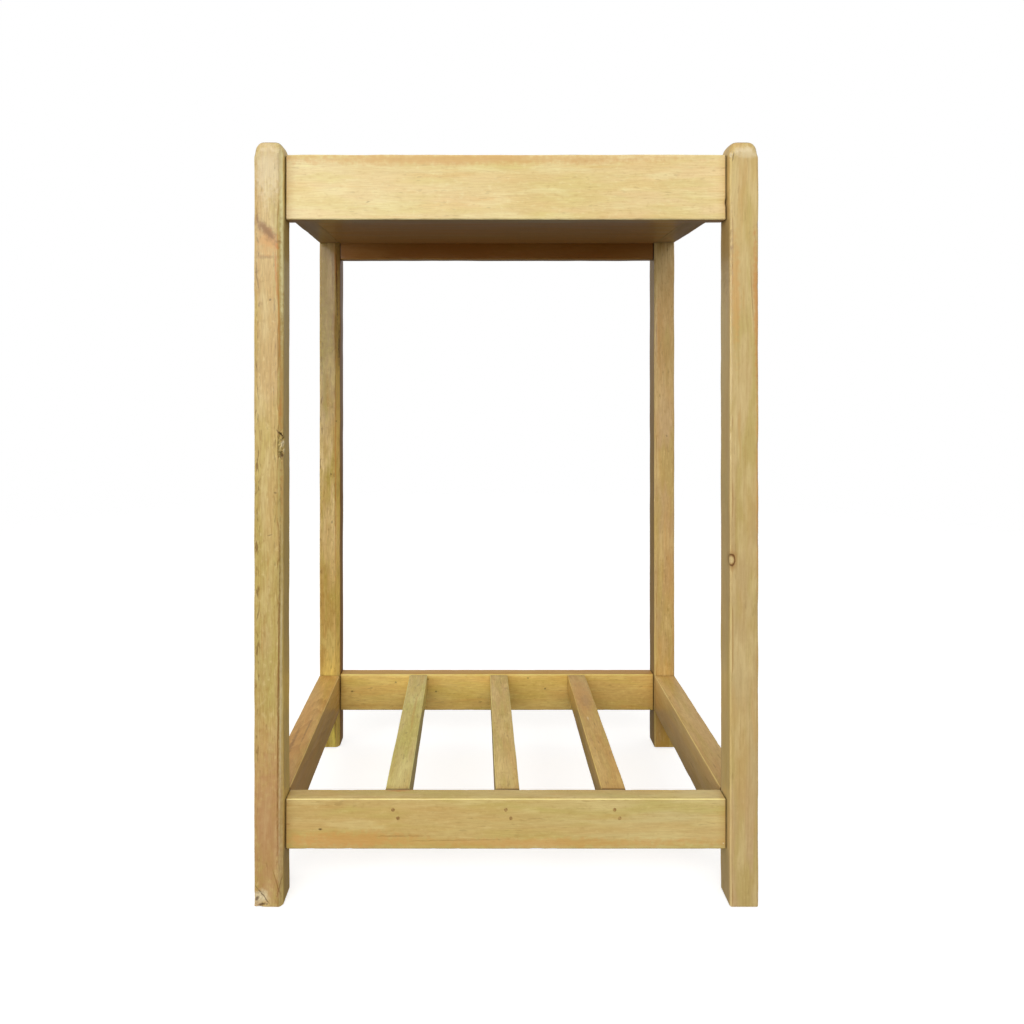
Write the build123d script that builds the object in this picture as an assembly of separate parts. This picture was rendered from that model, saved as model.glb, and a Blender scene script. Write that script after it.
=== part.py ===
from build123d import *
import os

# A free-standing potting bench in varnished pine, in millimetres.
# Four square posts with rounded tops carry a lipped tray top and a low slatted shelf.
# X runs left to right, Y front to back and Z up. The origin is on the floor, under the middle.

# Driving dimensions
overall_height = 900.0
post_side = 34.0
clear_width = 524.0  # between a left post and a right post
clear_depth = 318.0  # between a front post and a rear post
rail_thickness = 20.0  # front and rear rails; side rails are as thick as a post
rail_set_back = 11.0  # from a post's outer face to the front or rear rail's outer face

# Top: a panel let into four rails that stand above it as a lip
top_rail_level = 886.0
top_front_rail_height = 78.0
top_rear_rail_height = 72.0
top_side_rail_height = 45.0
panel_thickness = 18.0
tongue_thickness = 6.0
tongue_width = 7.0
groove_play = 0.5  # glue room at the bottom of a groove

# Shelf: four rails of one height, with slats flush with their tops
shelf_level = 121.0
shelf_rail_height = 60.0
slat_centres = {"left": -131.0, "middle": 3.0, "right": 132.0}  # set by eye, so not quite even
slat_width = 30.0
slat_height = 32.0

# Rounding
post_arris_radius = 2.5
rail_arris_radius = 2.0
dome_crown = 3.0  # how far the top of a post bulges across its width
dome_radius = 8.0  # round-over from the top of a post to its sides

# Dowels: each rail end has two
dowel_radius = 4.0
dowel_length = 40.0
dowel_chamfer = 1.0
dowel_hole_play = 0.1
dowel_in_post_front = 16.0  # depth in a post of a front or rear rail's dowel
dowel_in_post_side = 20.0  # depth in a post of a side rail's dowel
side_dowel_inset = 24.0  # from a post's inner face, so that the two rails' dowels miss each other
dowel_edge_share = 0.25  # a dowel's distance from a rail's edge, as a share of its height

# Nails: each slat end has two, driven through the rail and sunk under filler
nail_length = 45.0
nail_shank_radius = 1.3
nail_head_radius = 2.2
nail_head_length = 1.5
nail_point_length = 3.0
nail_play = 0.05
nail_sink = 2.5
nail_offsets = [(-3.0, -13.0), (3.0, -23.0)]  # from the slat's centre line and the shelf's top

# Places that follow from the driving dimensions
post_inner_x = clear_width / 2
post_inner_y = clear_depth / 2
post_centre_x = post_inner_x + post_side / 2
post_centre_y = post_inner_y + post_side / 2
rail_outer_y = post_inner_y + post_side - rail_set_back
rail_inner_y = rail_outer_y - rail_thickness
rail_centre_y = rail_outer_y - rail_thickness / 2
underside_level = top_rail_level - top_side_rail_height
tongue_level = underside_level + (panel_thickness - tongue_thickness) / 2
side_signs = {"left": -1, "right": 1}
depth_signs = {"front": -1, "rear": 1}


def block(low, high):
    """A box given by its lowest and highest corners."""
    sizes = [top - bottom for bottom, top in zip(low, high)]
    middle = [(top + bottom) / 2 for bottom, top in zip(low, high)]
    return Pos(*middle) * Box(*sizes)


def eased_board(low, high, grain):
    """A planed board whose four long arrises are slightly rounded."""
    board = block(low, high)
    return fillet(board.edges().filter_by(grain), rail_arris_radius)


def rail_across(sign, bottom, top):
    """A front or rear rail, between the left and right posts."""
    faces = sorted([sign * rail_inner_y, sign * rail_outer_y])
    low = (-post_inner_x, faces[0], bottom)
    high = (post_inner_x, faces[1], top)
    return eased_board(low, high, Axis.X)


def rail_deep(sign, bottom, top):
    """A side rail, between the front and rear posts and as thick as they are."""
    faces = sorted([sign * post_inner_x, sign * (post_inner_x + post_side)])
    low = (faces[0], -post_inner_y, bottom)
    high = (faces[1], post_inner_y, top)
    return eased_board(low, high, Axis.Y)


def dowel_levels(bottom, top):
    """The heights of the two dowels in a rail's end."""
    edge = dowel_edge_share * (top - bottom)
    return [bottom + edge, top - edge]


def dowels_across(sign, bottom, top):
    """Where a front or rear rail's four dowels lie, at both ends."""
    middle = post_inner_x + dowel_in_post_front - dowel_length / 2
    places = []
    for end in (-1, 1):
        for level in dowel_levels(bottom, top):
            places.append(Plane((end * middle, sign * rail_centre_y, level), z_dir=(1, 0, 0)))
    return places


def dowels_deep(sign, bottom, top):
    """Where a side rail's four dowels lie, at both ends."""
    middle = post_inner_y + dowel_in_post_side - dowel_length / 2
    places = []
    for end in (-1, 1):
        for level in dowel_levels(bottom, top):
            spot = (sign * (post_inner_x + side_dowel_inset), end * middle, level)
            places.append(Plane(spot, z_dir=(0, 1, 0)))
    return places


def dowel():
    """A plain beech dowel pin with chamfered ends, along Z about its middle."""
    pin = Cylinder(dowel_radius, dowel_length)
    return chamfer(pin.edges().filter_by(GeomType.CIRCLE), dowel_chamfer)


def dowel_hole():
    """The space drilled for one dowel, as long as the pin, so that its ends bear."""
    return Cylinder(dowel_radius + dowel_hole_play, dowel_length)


def nail(play=0.0):
    """A lost-head nail along Y, with the top of its head at Y = 0 and its point inwards."""
    shank = nail_shank_radius + play
    head = nail_head_radius + play
    neck = nail_length - nail_point_length
    outline = Polyline(
        (0, 0),
        (head, 0),
        (head, nail_head_length),
        (shank, nail_head_length),
        (shank, neck),
        (0, nail_length),
        close=True,
    )
    return revolve(make_face(outline), Axis.Y)


def filler_plug():
    """The filler over a sunk nail, flush with the rail's face, along Y from the nail's head."""
    plug = Cylinder(nail_head_radius, nail_sink)
    return Rot(X=90) * Pos(0, 0, nail_sink / 2) * plug


def filler_hole():
    """The hole that a sunk nail leaves behind its head."""
    hole = Cylinder(nail_head_radius + nail_play, nail_sink)
    return Rot(X=90) * Pos(0, 0, nail_sink / 2) * hole


def nail_places(sign):
    """Where the nails of the front or rear shelf rail have their heads, pointing inwards."""
    turn = 0 if sign < 0 else 180
    places = []
    for centre in slat_centres.values():
        for across, down in nail_offsets:
            head = (centre + across, sign * (rail_outer_y - nail_sink), shelf_level + down)
            places.append(Pos(*head) * Rot(Z=turn))
    return places


def domed_outline():
    """The side view of a post: straight sides, a low crown and rounded shoulders."""
    half = post_side / 2
    shoulder = overall_height - dome_crown
    sides = Polyline((-half, shoulder), (-half, 0), (half, 0), (half, shoulder))
    crown = ThreePointArc((half, shoulder), (0, overall_height), (-half, shoulder))
    face = make_face([sides, crown])
    return fillet(face.vertices().group_by(Axis.Y)[-1], dome_radius)


def post(sign_x, sign_y):
    """A square post with eased arrises, rounded over at the top from all four sides."""
    shaft = extrude(RectangleRounded(post_side, post_side, post_arris_radius), overall_height)
    front_view = extrude(Plane.XZ * domed_outline(), post_side / 2, both=True)
    side_view = extrude(Plane.YZ * domed_outline(), post_side / 2, both=True)
    domed = shaft & front_view & side_view
    return Pos(sign_x * post_centre_x, sign_y * post_centre_y, 0) * domed


def drilled(solid, places):
    """A post or rail with the holes for the dowels at these places."""
    return solid - [place * dowel_hole() for place in places]


def grooved_across(rail, sign):
    """A front or rear top rail with the groove for the panel's tongue in its inner face."""
    bottom_y = rail_inner_y + tongue_width + groove_play
    faces = sorted([sign * rail_inner_y, sign * bottom_y])
    low = (-post_inner_x, faces[0], tongue_level)
    high = (post_inner_x, faces[1], tongue_level + tongue_thickness)
    return rail - block(low, high)


def grooved_deep(rail, sign):
    """A side top rail with the groove for the panel's tongue in its inner face."""
    bottom_x = post_inner_x + tongue_width + groove_play
    faces = sorted([sign * post_inner_x, sign * bottom_x])
    low = (faces[0], -post_inner_y, tongue_level)
    high = (faces[1], post_inner_y, tongue_level + tongue_thickness)
    return rail - block(low, high)


def panel():
    """The tray's floor, with a tongue on all four edges and its underside level with the side rails."""
    top = underside_level + panel_thickness
    body = block((-post_inner_x, -rail_inner_y, underside_level), (post_inner_x, rail_inner_y, top))
    tongue_x = post_inner_x + tongue_width
    tongue_y = rail_inner_y + tongue_width
    tongue_top = tongue_level + tongue_thickness
    side_tongues = block((-tongue_x, -post_inner_y, tongue_level), (tongue_x, post_inner_y, tongue_top))
    end_tongues = block((-post_inner_x, -tongue_y, tongue_level), (post_inner_x, tongue_y, tongue_top))
    return body + side_tongues + end_tongues


def slat(centre):
    """A shelf slat, butted between the front and rear rails and flush with their tops."""
    low = (centre - slat_width / 2, -rail_inner_y, shelf_level - slat_height)
    high = (centre + slat_width / 2, rail_inner_y, shelf_level)
    return eased_board(low, high, Axis.Y)


# Rails, with the heights of their lower and upper edges
top_bottoms = {
    "front": top_rail_level - top_front_rail_height,
    "rear": top_rail_level - top_rear_rail_height,
    "left": underside_level,
    "right": underside_level,
}
shelf_bottom = shelf_level - shelf_rail_height
dowel_places = {}
parts = {}

for name, sign in depth_signs.items():
    bottom = top_bottoms[name]
    dowel_places[f"top_{name}"] = dowels_across(sign, bottom, top_rail_level)
    top_rail = grooved_across(rail_across(sign, bottom, top_rail_level), sign)
    parts[f"top_rail_{name}"] = drilled(top_rail, dowel_places[f"top_{name}"])

    dowel_places[f"shelf_{name}"] = dowels_across(sign, shelf_bottom, shelf_level)
    shelf_rail = drilled(rail_across(sign, shelf_bottom, shelf_level), dowel_places[f"shelf_{name}"])
    nail_holes = [place * nail(nail_play) for place in nail_places(sign)]
    filler_holes = [place * filler_hole() for place in nail_places(sign)]
    parts[f"shelf_rail_{name}"] = shelf_rail - nail_holes - filler_holes

for name, sign in side_signs.items():
    bottom = top_bottoms[name]
    dowel_places[f"top_{name}"] = dowels_deep(sign, bottom, top_rail_level)
    top_rail = grooved_deep(rail_deep(sign, bottom, top_rail_level), sign)
    parts[f"top_rail_{name}"] = drilled(top_rail, dowel_places[f"top_{name}"])

    dowel_places[f"shelf_{name}"] = dowels_deep(sign, shelf_bottom, shelf_level)
    shelf_rail = rail_deep(sign, shelf_bottom, shelf_level)
    parts[f"shelf_rail_{name}"] = drilled(shelf_rail, dowel_places[f"shelf_{name}"])

# Each post takes the dowels of the two rails that meet it, at the top and at the shelf
for depth_name, sign_y in depth_signs.items():
    for side_name, sign_x in side_signs.items():
        places = []
        for level_name in ("top", "shelf"):
            places += dowel_places[f"{level_name}_{depth_name}"]
            places += dowel_places[f"{level_name}_{side_name}"]
        parts[f"post_{depth_name}_{side_name}"] = drilled(post(sign_x, sign_y), places)

parts["top_panel"] = panel()

every_nail_hole = [place * nail(nail_play) for sign in depth_signs.values() for place in nail_places(sign)]
for name, centre in slat_centres.items():
    parts[f"slat_{name}"] = slat(centre) - every_nail_hole

for name, places in dowel_places.items():
    parts[f"dowels_{name}"] = Compound([place * dowel() for place in places])

for name, sign in depth_signs.items():
    parts[f"slat_nails_{name}"] = Compound([place * nail() for place in nail_places(sign)])
    parts[f"nail_filler_{name}"] = Compound([place * filler_plug() for place in nail_places(sign)])

os.makedirs("parts", exist_ok=True)
for node, shape in parts.items():
    export_step(shape, f"parts/{node}.step")
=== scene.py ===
import math

import bmesh
import bpy
from mathutils import Matrix, Vector, noise


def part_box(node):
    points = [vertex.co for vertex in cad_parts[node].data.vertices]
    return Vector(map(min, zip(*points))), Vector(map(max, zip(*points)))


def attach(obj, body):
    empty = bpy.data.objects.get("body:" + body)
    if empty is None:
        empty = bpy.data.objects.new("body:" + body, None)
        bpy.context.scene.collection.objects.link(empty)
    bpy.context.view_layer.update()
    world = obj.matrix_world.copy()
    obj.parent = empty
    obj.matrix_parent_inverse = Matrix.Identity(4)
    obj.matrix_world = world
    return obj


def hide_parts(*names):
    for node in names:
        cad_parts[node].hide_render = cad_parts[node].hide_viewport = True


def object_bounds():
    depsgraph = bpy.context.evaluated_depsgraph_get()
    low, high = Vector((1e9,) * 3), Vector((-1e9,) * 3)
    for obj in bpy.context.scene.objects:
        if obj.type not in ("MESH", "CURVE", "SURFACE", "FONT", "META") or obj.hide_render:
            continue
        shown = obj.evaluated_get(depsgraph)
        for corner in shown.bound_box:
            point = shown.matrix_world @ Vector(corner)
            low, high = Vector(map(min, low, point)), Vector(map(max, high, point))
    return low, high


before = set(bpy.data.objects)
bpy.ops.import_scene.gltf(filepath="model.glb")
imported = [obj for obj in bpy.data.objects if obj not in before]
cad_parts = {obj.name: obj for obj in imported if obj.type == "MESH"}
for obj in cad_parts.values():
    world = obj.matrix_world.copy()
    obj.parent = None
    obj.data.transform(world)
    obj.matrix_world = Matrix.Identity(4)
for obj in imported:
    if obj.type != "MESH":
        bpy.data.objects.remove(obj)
cad_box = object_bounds()

# Camera: level, in front of the bench, a little left of its middle and well above its half height.
# The view is shifted down and to the right instead of turned, so that the posts stay upright.
camera_distance = 0.8334
camera_left = 0.0366
camera_height = 0.631
camera_data = bpy.data.cameras.new("camera")
camera_data.lens = 25.02
camera_data.sensor_width = 36.0
camera_data.shift_x = 0.0361
camera_data.shift_y = -0.1396
camera = bpy.data.objects.new("camera", camera_data)
camera.location = (-camera_left, cad_box[0].y - camera_distance, camera_height)
camera.rotation_euler = (math.radians(90), 0, 0)
bpy.context.scene.collection.objects.link(camera)
bpy.context.scene.camera = camera
bpy.context.scene.view_settings.view_transform = "Standard"


# Studio: a pale floor that fades out into a white room. Light comes from a wide soft strip high in
# front, a smaller one low in front, a fill on the left and the upper half of the room. The white
# wall and the floor are only seen: they send little light back, so that undersides stay dark.
def soft_light(name, place, target, width, height, power):
    """A rectangular soft lamp, in metres and watts, turned to face its target."""
    lamp = bpy.data.lights.new(name, "AREA")
    lamp.shape = "RECTANGLE"
    lamp.size = width
    lamp.size_y = height
    lamp.energy = power
    body = bpy.data.objects.new(name, lamp)
    body.location = place
    body.rotation_euler = (Vector(target) - Vector(place)).to_track_quat("-Z", "Y").to_euler()
    bpy.context.scene.collection.objects.link(body)


soft_light("high_strip", (-0.30, -4.12, 3.55), (0.0, 0.0, 0.5), 6.5, 1.75, 112.0)
soft_light("low_front", (-0.88, -5.25, 1.20), (0.0, 0.0, 0.45), 2.2, 2.0, 60.0)
soft_light("left_fill", (-3.40, -2.20, 0.90), (0.0, 0.0, 0.40), 1.5, 1.5, 30.0)

room = bpy.data.worlds.new("room")
room.use_nodes = True
room_tree = room.node_tree
room_light = room_tree.nodes["Background"]
room_light.inputs["Color"].default_value = (1.0, 0.98, 0.95, 1)
room_place = room_tree.nodes.new("ShaderNodeTexCoord")
room_height = room_tree.nodes.new("ShaderNodeSeparateXYZ")
room_fall = room_tree.nodes.new("ShaderNodeMapRange")
room_fall.interpolation_type = "SMOOTHSTEP"
room_fall.inputs["From Min"].default_value = -0.25
room_fall.inputs["From Max"].default_value = 0.25
room_fall.inputs["To Min"].default_value = 0.10
room_fall.inputs["To Max"].default_value = 0.5
white_wall = room_tree.nodes.new("ShaderNodeBackground")
white_wall.inputs["Color"].default_value = (1, 1, 1, 1)
seen_directly = room_tree.nodes.new("ShaderNodeLightPath")
seen_or_lit = room_tree.nodes.new("ShaderNodeMixShader")
room_tree.links.new(room_place.outputs["Generated"], room_height.inputs[0])
room_tree.links.new(room_height.outputs["Z"], room_fall.inputs["Value"])
room_tree.links.new(room_fall.outputs[0], room_light.inputs["Strength"])
room_tree.links.new(seen_directly.outputs["Is Camera Ray"], seen_or_lit.inputs[0])
room_tree.links.new(room_light.outputs[0], seen_or_lit.inputs[1])
room_tree.links.new(white_wall.outputs[0], seen_or_lit.inputs[2])
room_tree.links.new(seen_or_lit.outputs[0], room_tree.nodes["World Output"].inputs["Surface"])
bpy.context.scene.world = room

floor_reach = 3.0
floor_level = -0.0005  # a hair below the feet
floor_mesh = bpy.data.meshes.new("floor")
floor_sides = [(-1, -1), (1, -1), (1, 1), (-1, 1)]
floor_corners = [(x * floor_reach, y * floor_reach, floor_level) for x, y in floor_sides]
floor_mesh.from_pydata(floor_corners, [], [(0, 1, 2, 3)])
floor = bpy.data.objects.new("floor", floor_mesh)
bpy.context.scene.collection.objects.link(floor)
floor.visible_diffuse = False
floor.visible_glossy = False
floor_paint = bpy.data.materials.new("floor_paint")
floor_paint.use_nodes = True
floor_tree = floor_paint.node_tree
floor_shader = floor_tree.nodes["Principled BSDF"]
floor_shader.inputs["Base Color"].default_value = (0.7, 0.7, 0.7, 1)
floor_shader.inputs["Roughness"].default_value = 0.8
floor_shader.inputs["Specular IOR Level"].default_value = 0.1
floor_shader.inputs["Emission Color"].default_value = (1, 1, 1, 1)
floor_shader.inputs["Emission Strength"].default_value = 0.66
floor_place = floor_tree.nodes.new("ShaderNodeTexCoord")
floor_distance = floor_tree.nodes.new("ShaderNodeVectorMath")
floor_distance.operation = "LENGTH"
floor_fade = floor_tree.nodes.new("ShaderNodeMapRange")
floor_fade.interpolation_type = "SMOOTHSTEP"
floor_fade.inputs["From Min"].default_value = floor_reach * 0.95
floor_fade.inputs["From Max"].default_value = 0.55
floor_tree.links.new(floor_place.outputs["Object"], floor_distance.inputs[0])
floor_tree.links.new(floor_distance.outputs["Value"], floor_fade.inputs["Value"])
floor_tree.links.new(floor_fade.outputs[0], floor_shader.inputs["Alpha"])
floor_mesh.materials.append(floor_paint)


# Posts: four square lengths of planed pine, upright, rounded over at the top and cut square below.
# The left ones have an inner arris planed off flat. The front left one has a torn knot half way up
# and a broken corner at the foot. Yellow varnish covers knots, tears and bruises alike.
def linear(red, green, blue):
    """A paint-chart colour, 0 to 255 a channel, as the linear colour that a shader takes."""
    def channel(value):
        share = min(value, 255) / 255
        return share / 12.92 if share <= 0.04045 else ((share + 0.055) / 1.055) ** 2.4
    return (channel(red), channel(green), channel(blue), 1)


def shaded(tone, red, green, blue):
    """A varnish tone changed by a factor a channel, as a shader colour."""
    return linear(tone[0] * red, tone[1] * green, tone[2] * blue)


def place_node(tree, kind, inputs=None, **settings):
    """Adds a node with these settings. Each input is given a value, or the socket that feeds it."""
    made = tree.nodes.new(kind)
    for key, value in settings.items():
        setattr(made, key, value)
    for key, value in (inputs or {}).items():
        if isinstance(value, bpy.types.NodeSocket):
            tree.links.new(value, made.inputs[key])
        else:
            made.inputs[key].default_value = value
    return made


def sum_up(tree, operation, *values):
    """A Math node on these values, as its result's socket."""
    inputs = dict(enumerate(values))
    return place_node(tree, "ShaderNodeMath", inputs, operation=operation).outputs[0]


def on_vectors(tree, operation, *values, result=0):
    """A Vector Math node on these values, as its result's socket."""
    inputs = dict(enumerate(values))
    return place_node(tree, "ShaderNodeVectorMath", inputs, operation=operation).outputs[result]


def scaled(tree, vector, factor):
    """A vector times a number."""
    inputs = {"Vector": vector, "Scale": factor}
    return place_node(tree, "ShaderNodeVectorMath", inputs, operation="SCALE").outputs[0]


def remap(tree, value, start, end, to_start=0.0, to_end=1.0):
    """A smooth step from one value to another as the input goes from start to end."""
    inputs = {"Value": value, "From Min": start, "From Max": end, "To Min": to_start, "To Max": to_end}
    return place_node(tree, "ShaderNodeMapRange", inputs, interpolation_type="SMOOTHSTEP").outputs[0]


def blend_colour(tree, share, colour, other):
    """One colour over another by a share."""
    inputs = {0: share, 6: colour, 7: other}
    return place_node(tree, "ShaderNodeMix", inputs, data_type="RGBA").outputs[2]


def speckle(tree, vector, stretch, detail=2.0, roughness=0.5, distortion=0.0):
    """Noise about 0.5, as its value's socket. stretch is how many grains fall in a metre each way."""
    inputs = {
        "Vector": on_vectors(tree, "MULTIPLY", vector, stretch), "Scale": 1.0,
        "Detail": detail, "Roughness": roughness, "Distortion": distortion,
    }
    return place_node(tree, "ShaderNodeTexNoise", inputs).outputs[0]


# Some kinds paint light as well as marks on the wood: smoke also paints a shadow, bare also paints
# highlights and a paler top, and worn paints a highlight along a planed arris.
mark_colours = {
    "knot": (112, 70, 32),
    "bark": (84, 52, 24),
    "smoke_and_shade": (150, 104, 54),
    "resin": (208, 138, 64),
    "amber": (220, 164, 92),
    "bare_and_highlight": (246, 230, 190),
    "worn": (255, 244, 184),
    "rose": (194, 142, 98),
    "flecks": (132, 96, 48),
}


def varnished_pine(
    name, middle, grain, heart, tones_and_light, length, ring=0.0046, figure=1.0, cloud=1.0, specks=1.0,
    wear_and_highlight=0.6, marks=(), joined=True, coats_and_shading=(), gloss=0.3,
):
    """Yellow varnish over pine. The rings are those of one tree, so the grain agrees on all faces.

    middle is the board's middle, grain the axis that its fibres follow, and heart how far the
    tree's heart lay from the board's middle across the grain, and its lean along it. The tones are
    the varnish's colours at even steps from the board's low end to its high end, and on the posts
    they hold painted light and shade too: paler where the lamps light a post more, darker where the
    tray and the shelf shade it. figure, cloud and specks are how strong the rings, the blotches and
    the fine mottle are, and the rubbing share how pale the arrises have worn, with a painted
    highlight on them. Each mark is (kind, place, half sizes, turn about Y, strength), and each coat
    (facing, share, colour) a different layer on the sides that face one way: a thicker coat, the end
    grain, and on many sides painted light and shade where the lamps light them more or less.
    """
    made = bpy.data.materials.new(name)
    made.use_nodes = True
    tree = made.node_tree
    shader = tree.nodes["Principled BSDF"]
    where = place_node(tree, "ShaderNodeTexCoord").outputs
    from_middle = on_vectors(tree, "SUBTRACT", where["Object"], middle)
    axes = place_node(tree, "ShaderNodeSeparateXYZ", {0: from_middle}).outputs
    along = axes[grain]
    across = [axes[axis] for axis in "XYZ" if axis != grain]
    board = place_node(tree, "ShaderNodeCombineXYZ", {0: across[0], 1: across[1], 2: along}).outputs[0]
    seed = sum(middle) * 7.31
    own = on_vectors(tree, "ADD", board, (seed, seed * 0.7, seed * 1.3))

    # Year rings wander along the tree, vary in strength, and fade in and out
    slow = on_vectors(tree, "MULTIPLY", own, (14.0, 14.0, 2.6))
    drift = place_node(tree, "ShaderNodeTexNoise", {"Vector": slow, "Scale": 1.0, "Detail": 1.5})
    reach = 0.015
    both_ways = (2 * reach, 2 * reach, 0.0)
    wander = on_vectors(tree, "MULTIPLY_ADD", drift.outputs["Color"], both_ways, (-reach, -reach, 0.0))
    leaning = place_node(tree, "ShaderNodeCombineXYZ", {
        0: sum_up(tree, "MULTIPLY_ADD", along, heart[2], heart[0]),
        1: sum_up(tree, "MULTIPLY_ADD", along, heart[3], heart[1]),
    }).outputs[0]
    flat = on_vectors(tree, "MULTIPLY", board, (1.0, 1.0, 0.0))
    from_heart = on_vectors(tree, "ADD", on_vectors(tree, "ADD", flat, wander), leaning)
    radius = on_vectors(tree, "LENGTH", from_heart, result=1)
    wobble = speckle(tree, own, (80.0, 80.0, 14.0), 3.0)
    turns = sum_up(tree, "MULTIPLY_ADD", wobble, 1.7, sum_up(tree, "DIVIDE", radius, ring))
    part_turn = sum_up(tree, "FRACT", turns)
    darkening = remap(tree, part_turn, 0.1, 0.88)
    breaking_off = remap(tree, part_turn, 1.0, 0.92)
    late_wood = sum_up(tree, "MULTIPLY", darkening, breaking_off)
    whole_turn = {"W": sum_up(tree, "FLOOR", turns)}
    year = place_node(tree, "ShaderNodeTexWhiteNoise", whole_turn, noise_dimensions="1D")
    strength = remap(tree, year.outputs["Value"], 0.0, 1.0, 0.02 * figure, 0.26 * figure)
    fading = remap(tree, speckle(tree, own, (45.0, 45.0, 9.0), 2.0), 0.36, 0.64, 0.1, 1.0)
    late_share = sum_up(tree, "MULTIPLY", sum_up(tree, "MULTIPLY", late_wood, strength), fading)

    # The varnish's tone from end to end, with painted light and shade along the posts
    tone = [sum(channel) / len(tones_and_light) for channel in zip(*tones_and_light)]
    deep = shaded(tone, 0.80, 0.69, 0.52)
    pale = shaded(tone, 1.07, 1.10, 1.14)
    steps = len(tones_and_light) - 1
    climb = sum_up(tree, "MULTIPLY_ADD", along, steps / length, steps / 2)
    colour = linear(*tones_and_light[0])
    for step, next_tone in enumerate(tones_and_light[1:]):
        colour = blend_colour(tree, remap(tree, climb, step, step + 1.0), colour, linear(*next_tone))

    # Blotches of olive, pink, amber and pale, long along the grain, and a fine mottle over them
    olive = remap(tree, speckle(tree, own, (52.0, 52.0, 9.0), 3.0), 0.42, 0.62, 0.0, 0.75 * cloud)
    colour = blend_colour(tree, olive, colour, shaded(tone, 0.94, 0.97, 0.80))
    pink = remap(tree, speckle(tree, own, (37.0, 37.0, 6.1), 3.0), 0.46, 0.66, 0.0, 0.75 * cloud)
    colour = blend_colour(tree, pink, colour, shaded(tone, 1.0, 0.945, 0.90))
    light = remap(tree, speckle(tree, own, (66.0, 66.0, 16.0), 4.0), 0.50, 0.68, 0.0, 0.7 * cloud)
    colour = blend_colour(tree, light, colour, pale)
    colour = blend_colour(tree, late_share, colour, deep)
    streaks = speckle(tree, own, (95.0, 95.0, 7.5), 4.0, 0.6, 0.4)
    warm = remap(tree, streaks, 0.54, 0.74, 0.0, 0.55 * cloud)
    colour = blend_colour(tree, warm, colour, shaded(tone, 0.94, 0.82, 0.62))
    chatter = speckle(tree, own, (230.0, 230.0, 150.0), 3.0)
    colour = blend_colour(tree, remap(tree, chatter, 0.44, 0.24, 0.0, 0.32 * specks), colour, deep)
    colour = blend_colour(tree, remap(tree, chatter, 0.54, 0.74, 0.0, 0.45 * specks), colour, pale)

    # Fibres, and the short dark pores among them
    fibre = speckle(tree, own, (800.0, 800.0, 60.0), 3.0)
    colour = blend_colour(tree, remap(tree, fibre, 0.34, 0.70, 0.0, 0.34 * specks), colour, deep)
    pore = remap(tree, speckle(tree, own, (330.0, 330.0, 75.0), 1.0), 0.64, 0.74, 0.0, 0.36 * specks)
    pore_patch = remap(tree, speckle(tree, own, (30.0, 30.0, 12.0)), 0.42, 0.60)
    pores = sum_up(tree, "MULTIPLY", pore, pore_patch)
    colour = blend_colour(tree, pores, colour, shaded(tone, 0.62, 0.5, 0.34))

    # The arrises are rubbed paler, unevenly, and painted paler still as a highlight, with a line of
    # thicker varnish beside them
    arris = place_node(tree, "ShaderNodeAttribute", attribute_name="arris").outputs["Fac"]
    wear_and_highlight_patches = remap(tree, speckle(tree, own, (70.0, 70.0, 26.0), 3.0), 0.36, 0.60, wear_and_highlight * 0.55, wear_and_highlight)
    wear_and_highlight_share = sum_up(tree, "MULTIPLY", arris, wear_and_highlight_patches)
    colour = blend_colour(tree, wear_and_highlight_share, colour, shaded(tone, 1.26, 1.24, 1.24))
    nearing_arris = remap(tree, arris, 0.04, 0.2, 0.0, 0.65)
    beside = sum_up(tree, "MULTIPLY", nearing_arris, remap(tree, arris, 0.6, 0.3))
    colour = blend_colour(tree, beside, colour, shaded(tone, 0.78, 0.64, 0.46))

    # Knots, resin, bark and bare spots, each where it is on this board
    crumbs = {"Vector": where["Object"], "Scale": 190.0, "Detail": 4.0}
    coarse = place_node(tree, "ShaderNodeTexNoise", crumbs)
    raggedness = 0.85
    push = on_vectors(
        tree, "MULTIPLY_ADD", coarse.outputs["Color"], (2 * raggedness,) * 3, (-raggedness,) * 3,
    )
    for kind, place, halves, turn, share in marks:
        offset = on_vectors(tree, "SUBTRACT", where["Object"], place)
        turning = {"Vector": offset, "Angle": math.radians(turn)}
        turned = place_node(tree, "ShaderNodeVectorRotate", turning, rotation_type="Y_AXIS").outputs[0]
        inside = on_vectors(tree, "DIVIDE", turned, halves)
        ragged = on_vectors(tree, "LENGTH", on_vectors(tree, "ADD", inside, push), result=1)
        if kind == "knot":
            smooth = sum_up(tree, "ADD", on_vectors(tree, "LENGTH", inside, result=1), -0.35)
            distance = sum_up(tree, "MULTIPLY_ADD", coarse.outputs["Fac"], 0.7, smooth)
            halo = remap(tree, distance, 2.3, 0.9, 0.0, 0.55 * share)
            colour = blend_colour(tree, halo, colour, shaded(tone, 0.80, 0.64, 0.44))
            colour = blend_colour(tree, remap(tree, distance, 0.8, 0.4, 0.0, 0.8 * share), colour, pale)
            rim_outside = remap(tree, distance, 1.2, 1.0)
            rim_inside = remap(tree, distance, 0.62, 0.92)
            mark = sum_up(tree, "MULTIPLY", sum_up(tree, "MULTIPLY", rim_outside, rim_inside), share)
        elif kind == "flecks":  # a strip where the pores are open and dirty
            dashes = speckle(tree, own, (480.0, 480.0, 75.0), 2.0)
            dashes = remap(tree, dashes, 0.54, 0.68, 0.0, share)
            mark = sum_up(tree, "MULTIPLY", dashes, remap(tree, ragged, 1.5, 0.5))
        else:
            mark = remap(tree, ragged, 1.35, 0.3, 0.0, share)
        colour = blend_colour(tree, mark, colour, linear(*mark_colours[kind]))

    # Each coat colours the sides that face one way: a thicker coat, the end grain, and painted light
    # and shade on sides that the lamps light more or less.
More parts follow.
